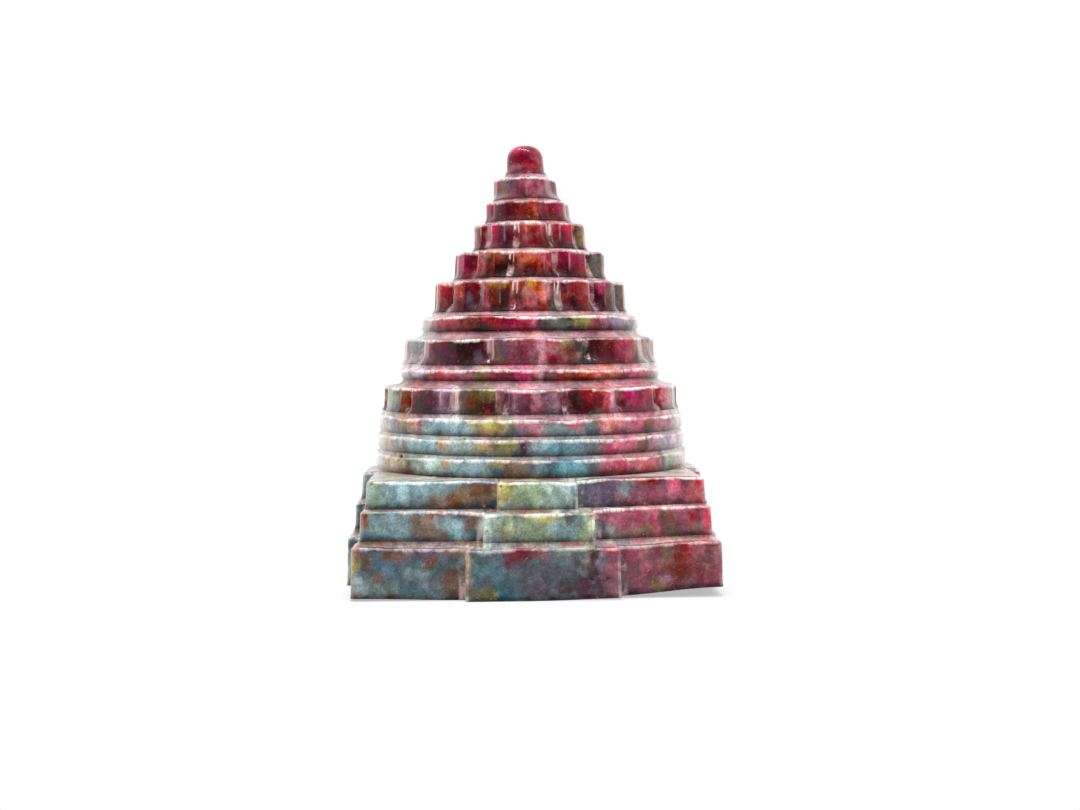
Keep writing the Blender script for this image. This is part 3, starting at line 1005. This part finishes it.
def stone_material():
    """Polished mottled stone: marks from the mesh, and grain, flecks, veins, cracks and wear from nodes."""
    material = bpy.data.materials.new("mottled_stone")
    material.use_nodes = True
    nodes = Nodes(material.node_tree)
    place = nodes.add("TexCoord").outputs["Object"]
    nodes.spot = nodes.add("VectorMath", {0: place, "Scale": 1 / MM}, operation="SCALE").outputs[0]
    labels = ("stone", "marks", "wear")
    stone, marks, wear = (nodes.add("Attribute", attribute_name=label) for label in labels)
    corner, hollow, tread = nodes.split(wear.outputs["Color"])
    valley = valley_place(nodes, marks.outputs["Color"])
    grain = nodes.noise(0.3, 3, 0.7)
    lumps = nodes.noise(1.3, 4, 0.6, 0.4)
    colour = crystal_grain(nodes, stone.outputs["Color"], grain, lumps)
    colour, fleck = flecks(nodes, colour, grain)
    colour, crack = veins_and_cracks(nodes, colour)
    webs = nodes.times(hollow, nodes.ramp(nodes.noise(3.6, 5, 0.65), 0.45, 0.62))
    colour = nodes.stain(colour, WEB_PINK, webs, 0.6)
    colour = nodes.stain(colour, EDGE_GLINT, worn_edges(nodes, valley[2], corner), 0.85)
    scratches = wheel_scratches(nodes, *valley, marks.outputs["Alpha"])
    colour = nodes.stain(colour, SCRATCH_WHITE, scratches, 0.85)
    rough = nodes.math("MULTIPLY_ADD", lumps, 0.3, 0.16)
    surface = nodes.add("BsdfPrincipled", {
        "Base Color": colour,
        "Roughness": nodes.math("ADD", rough, nodes.times(scratches, 0.4), clamp=True),
        "Specular IOR Level": 0.1,
        "IOR": 1.5,
        "Coat Weight": nodes.math("MULTIPLY_ADD", tread, TREAD_COAT - 1, 1),
        "Coat IOR": 1.25,
        "Coat Roughness": 0.06,
        "Sheen Weight": 0.7,
        "Sheen Roughness": 0.25,
        "Normal": uneven_polish(nodes, grain, fleck, crack),
    })
    nodes.add("OutputMaterial", {0: surface.outputs[0]})
    return material


def uneven_polish(nodes, grain, fleck, crack):
    """Bump of a polish that follows the grain, with small pits at the flecks and cracks."""
    height = nodes.math("MULTIPLY_ADD", nodes.noise(0.8, 4, 0.65), 0.7, nodes.times(grain, 0.3))
    height = nodes.math("SUBTRACT", height, nodes.times(fleck, 0.1))
    height = nodes.math("SUBTRACT", height, crack)
    return nodes.add("Bump", {"Strength": 0.9, "Distance": BUMP_DEPTH * MM, "Height": height}).outputs[0]


def valley_place(nodes, colour):
    """Distance across the nearest valley, nearness to it, and distance below the edge, in mm."""
    across, near, drop = nodes.split(colour)
    across = nodes.math("MULTIPLY_ADD", across, ACROSS_RANGE, -ACROSS_RANGE / 2)
    return across, near, nodes.math("MULTIPLY_ADD", drop, DROP_RANGE, -DROP_RANGE / 2)


def crystal_grain(nodes, stone, grain, lumps):
    """Fine light and dark crystals, with hue and strength of colour that drift a little."""
    return nodes.add("HueSaturation", {
        "Hue": nodes.ramp(nodes.noise(0.7, 3, 0.6), 0.3, 0.7, 0.483, 0.515),
        "Saturation": nodes.ramp(nodes.noise(1.9, 3, 0.6), 0.3, 0.7, 0.9, 1.25),
        "Value": nodes.times(nodes.ramp(grain, 0.3, 0.7, 0.7, 1.27), nodes.ramp(lumps, 0.3, 0.7, 0.76, 1.24)),
        "Color": stone,
    }).outputs["Color"]


def flecks(nodes, colour, grain):
    """Rust spots, dark flecks and pale glints. Also returns the flecks, which are small pits."""
    rust = nodes.blend(nodes.ramp(grain, 0.35, 0.65), RUST_DARK, RUST_LIGHT)
    colour = nodes.stain(colour, rust, nodes.ramp(nodes.noise(2.4, 5, 0.65, 0.5), 0.63, 0.72), 0.7)
    fleck = nodes.times(nodes.ramp(nodes.noise(0.6, 3, 0.6), 0.66, 0.75), 0.75)
    colour = nodes.blend(fleck, colour, FLECK_DARK)
    glint = nodes.ramp(nodes.noise(0.34, 2, 0.6, 0.3), 0.66, 0.76)
    return nodes.stain(colour, CRYSTAL_GLINT, glint, 0.3), fleck


def veins_and_cracks(nodes, colour):
    """Thin salmon veins in the red stone, and a dark crack low on the right of the front gate."""
    wobble = nodes.add("TexNoise", {"Vector": nodes.spot, "Scale": 0.7, "Detail": 4.0}).outputs["Color"]
    bent = nodes.add("VectorMath", {0: nodes.spot, 1: wobble}, operation="ADD").outputs[0]
    cells = nodes.add("TexVoronoi", feature="DISTANCE_TO_EDGE")
    nodes.put(bent, cells.inputs["Vector"])
    nodes.put(1 / VEIN_CELL, cells.inputs["Scale"])
    vein = nodes.ramp(cells.outputs["Distance"], 0, 0.06, 1, 0)
    vein = nodes.times(vein, nodes.ramp(nodes.noise(3), 0.5, 0.65))
    vein = nodes.times(vein, nodes.ramp(nodes.split_place(nodes.spot)[0], *VEINS_FROM))
    colour = nodes.stain(colour, VEIN_SALMON, vein, 0.22)
    crack = front_crack(nodes, nodes.split(wobble)[0])
    return nodes.stain(colour, CRACK_DARK, crack, 0.85), crack


def front_crack(nodes, wobble):
    """Dark hairline that wanders across the right of the front gate."""
    across, away, height = nodes.split_place(nodes.spot)
    shift = nodes.math("MULTIPLY_ADD", wobble, CRACK_WANDER, CRACK_HEIGHT - CRACK_WANDER / 2)
    line = nodes.ramp(nodes.distance(height, shift), 0.05, 0.2, 1, 0)
    end = nodes.ramp(nodes.distance(across, CRACK_MIDDLE), CRACK_HALF - 0.6, CRACK_HALF, 1, 0)
    line = nodes.times(line, end)
    line = nodes.times(line, nodes.ramp(away, GATE_FRONT, GATE_FRONT + 0.5, 1, 0))
    return nodes.times(line, nodes.ramp(nodes.noise(1.1), 0.35, 0.5))


def worn_edges(nodes, drop, corner):
    """Pale glints along each top edge, in stretches that come and go, and fainter ones on the corners."""
    stretch = nodes.ramp(nodes.noise(4, 3, 0.6), 0.36, 0.6)
    reach = nodes.math("MULTIPLY_ADD", stretch, 0.4, 0.3)
    top = nodes.ramp(nodes.math("DIVIDE", nodes.distance(drop, 0.1), reach), 0.25, 1, 1, 0)
    top = nodes.times(top, nodes.math("MULTIPLY_ADD", stretch, 0.75, 0.25))
    height = nodes.split_place(nodes.spot)[2]
    top = nodes.times(top, nodes.ramp(height, BASE_TOP, BASE_TOP + 1.9, 0.5, 1))
    side = nodes.times(corner, nodes.ramp(nodes.noise(2.6), 0.4, 0.6, 0.1, 0.5))
    tall = nodes.add("VectorMath", {0: nodes.spot, 1: (1, 1, 0.3)}, operation="MULTIPLY").outputs[0]
    hairs = nodes.ramp(nodes.noise(0.6, 4, 0.7, spot=tall), 0.36, 0.58, 0.3, 1)
    return nodes.times(nodes.math("MAXIMUM", top, side), hairs)


def wheel_scratches(nodes, across, near, drop, chance):
    """Pairs of matte white lines that the wheel left at the top of a few valleys."""
    slanted = nodes.math("MULTIPLY_ADD", drop, nodes.math("MULTIPLY_ADD", chance, 0.3, -0.15), across)
    lines = []
    for middle, half, longest in WHEEL_LINES:
        line = nodes.ramp(nodes.distance(slanted, middle), half * 0.4, half, 1, 0)
        left_over = nodes.math("SUBTRACT", nodes.math("ADD", chance, longest), drop)
        lines.append(nodes.times(line, nodes.ramp(left_over, 0, 0.4)))
    total = nodes.times(nodes.math("MAXIMUM", *lines), near)
    total = nodes.times(total, nodes.ramp(chance, 0.2, 0.25))
    total = nodes.times(total, nodes.ramp(drop, 0, 0.3))
    return nodes.times(total, nodes.ramp(nodes.noise(0.25), 0.3, 0.5))


# Assembly

def level_mesh(name):
    """Carved and coloured mesh of one level."""
    if name == TOP:
        columns, radii, heights, drops, parts = dome_rows()
    else:
        above = FROM_THE_GROUND[FROM_THE_GROUND.index(name) + 1]
        columns, radii, heights, drops, parts = level_rows(name, above)
    points = placed(columns, radii, heights)
    colour = weathered(name, points, stone_colour(points), parts)
    if name != TOP:
        colour = colour * wall_light(name, points, parts)
    return stone_mesh(name, columns, carved(name, points), colour, drops, parts)


def add_levels():
    material = stone_material()
    for name in FROM_THE_GROUND:
        mesh = level_mesh(name)
        mesh.materials.append(material)
        piece = bpy.data.objects.new("carved_" + name, mesh)
        bpy.context.collection.objects.link(piece)
        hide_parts(name)
        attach(piece, "root")


# Studio, in metres

FLOOR_HALF = 4
FLOOR_DROP = 0.00003
FLOOR_TONE = (0.68, 0.68, 0.68, 1)
UNDER_STONE = (0.029, 0.034)
CLEAR_FROM = 0.07
WHITE = (1, 1, 1, 1)
LAMP_PLACE = (-0.02, -0.03, 0.6)
LAMP_AIM = Vector((0, 0, 0.035))
LAMP_SIZE = (0.5, 0.035)
LAMP_POWER = 2.4


def add_floor():
    """Pale floor that catches a soft shadow near the stone and is white further away."""
    mesh = bpy.data.meshes.new("floor")
    corners = [(-1, -1), (1, -1), (1, 1), (-1, 1)]
    mesh.from_pydata([(x * FLOOR_HALF, y * FLOOR_HALF, -FLOOR_DROP) for x, y in corners], [], [(0, 1, 2, 3)])
    material = bpy.data.materials.new("floor_white")
    material.use_nodes = True
    nodes = Nodes(material.node_tree)
    place = nodes.split_place(nodes.add("TexCoord").outputs["Object"])
    away = nodes.math("MAXIMUM", *(nodes.math("ABSOLUTE", value) for value in place[:2]))
    beside = nodes.ramp(away, *UNDER_STONE, 0.45, 0.88)
    clear = nodes.math("MAXIMUM", beside, nodes.ramp(away, UNDER_STONE[1], CLEAR_FROM))
    path = nodes.add("LightPath").outputs
    seen = nodes.math("ADD", path["Is Camera Ray"], path["Is Glossy Ray"])
    seen = nodes.math("ADD", seen, path["Is Transmission Ray"], clamp=True)
    surface = nodes.add("BsdfDiffuse", {"Color": FLOOR_TONE}).outputs[0]
    glow = nodes.add("Emission").outputs[0]
    joined = nodes.add("MixShader", {0: nodes.times(seen, clear), 1: surface, 2: glow})
    nodes.add("OutputMaterial", {0: joined.outputs[0]})
    mesh.materials.append(material)
    floor = bpy.data.objects.new("floor", mesh)
    bpy.context.collection.objects.link(floor)


def add_world():
    """White all round, a dimmer side towards the front, and soft light that is stronger from above."""
    world = bpy.data.worlds.new("studio")
    world.use_nodes = True
    bpy.context.scene.world = world
    nodes = Nodes(world.node_tree)
    path = nodes.add("LightPath").outputs
    away, height = nodes.split_place(nodes.add("TexCoord").outputs["Generated"])[1:]
    mirrored = nodes.math("MAXIMUM", nodes.ramp(away, -0.98, -0.05, 0.03, 1), nodes.ramp(height, 0.45, 0.9))
    soft = nodes.ramp(height, 0, 1, 0.84, 1.5)
    strength = nodes.blend(path["Is Glossy Ray"], soft, mirrored)
    seen = nodes.math("ADD", path["Is Camera Ray"], path["Is Transmission Ray"], clamp=True)
    strength = nodes.blend(seen, strength, WHITE)
    background = nodes.add("Background", {"Color": WHITE, "Strength": strength})
    nodes.add("OutputWorld", {0: background.outputs[0]})


def add_lamp():
    light = bpy.data.lights.new("overhead", "AREA")
    light.shape = "RECTANGLE"
    light.size, light.size_y = LAMP_SIZE
    light.energy = LAMP_POWER
    lamp = bpy.data.objects.new("overhead", light)
    lamp.location = LAMP_PLACE
    lamp.rotation_mode = "QUATERNION"
    lamp.rotation_quaternion = (LAMP_AIM - lamp.location).to_track_quat("-Z", "Y")
    bpy.context.collection.objects.link(lamp)


# The photograph's camera: a long view from just above half the object's height, with angles in degrees.
CAMERA_PLACE = (-8.08, -279.6, 41.84)
CAMERA_HEADING = 2.0
CAMERA_PITCH = 2.475
CAMERA_ROLL = 0.45
FOCAL_PIXELS = 1573
FRAME_WIDTH = 1080
SENSOR = 36
NEAREST = 0.01
FURTHEST = 50


def add_camera():
    data = bpy.data.cameras.new("camera")
    data.sensor_width = SENSOR
    data.lens = FOCAL_PIXELS / FRAME_WIDTH * SENSOR
    data.clip_start = NEAREST
    data.clip_end = FURTHEST
    camera = bpy.data.objects.new("camera", data)
    heading, pitch, roll = (math.radians(value) for value in (CAMERA_HEADING, CAMERA_PITCH, CAMERA_ROLL))
    aim = Euler((math.pi / 2 - pitch, 0, -heading)).to_matrix().to_4x4() @ Matrix.Rotation(-roll, 4, "Z")
    camera.matrix_world = Matrix.Translation(Vector(CAMERA_PLACE) * MM) @ aim
    bpy.context.collection.objects.link(camera)
    bpy.context.scene.camera = camera


add_camera()
add_levels()
add_floor()
add_world()
add_lamp()
bpy.context.scene.view_settings.view_transform = "Standard"
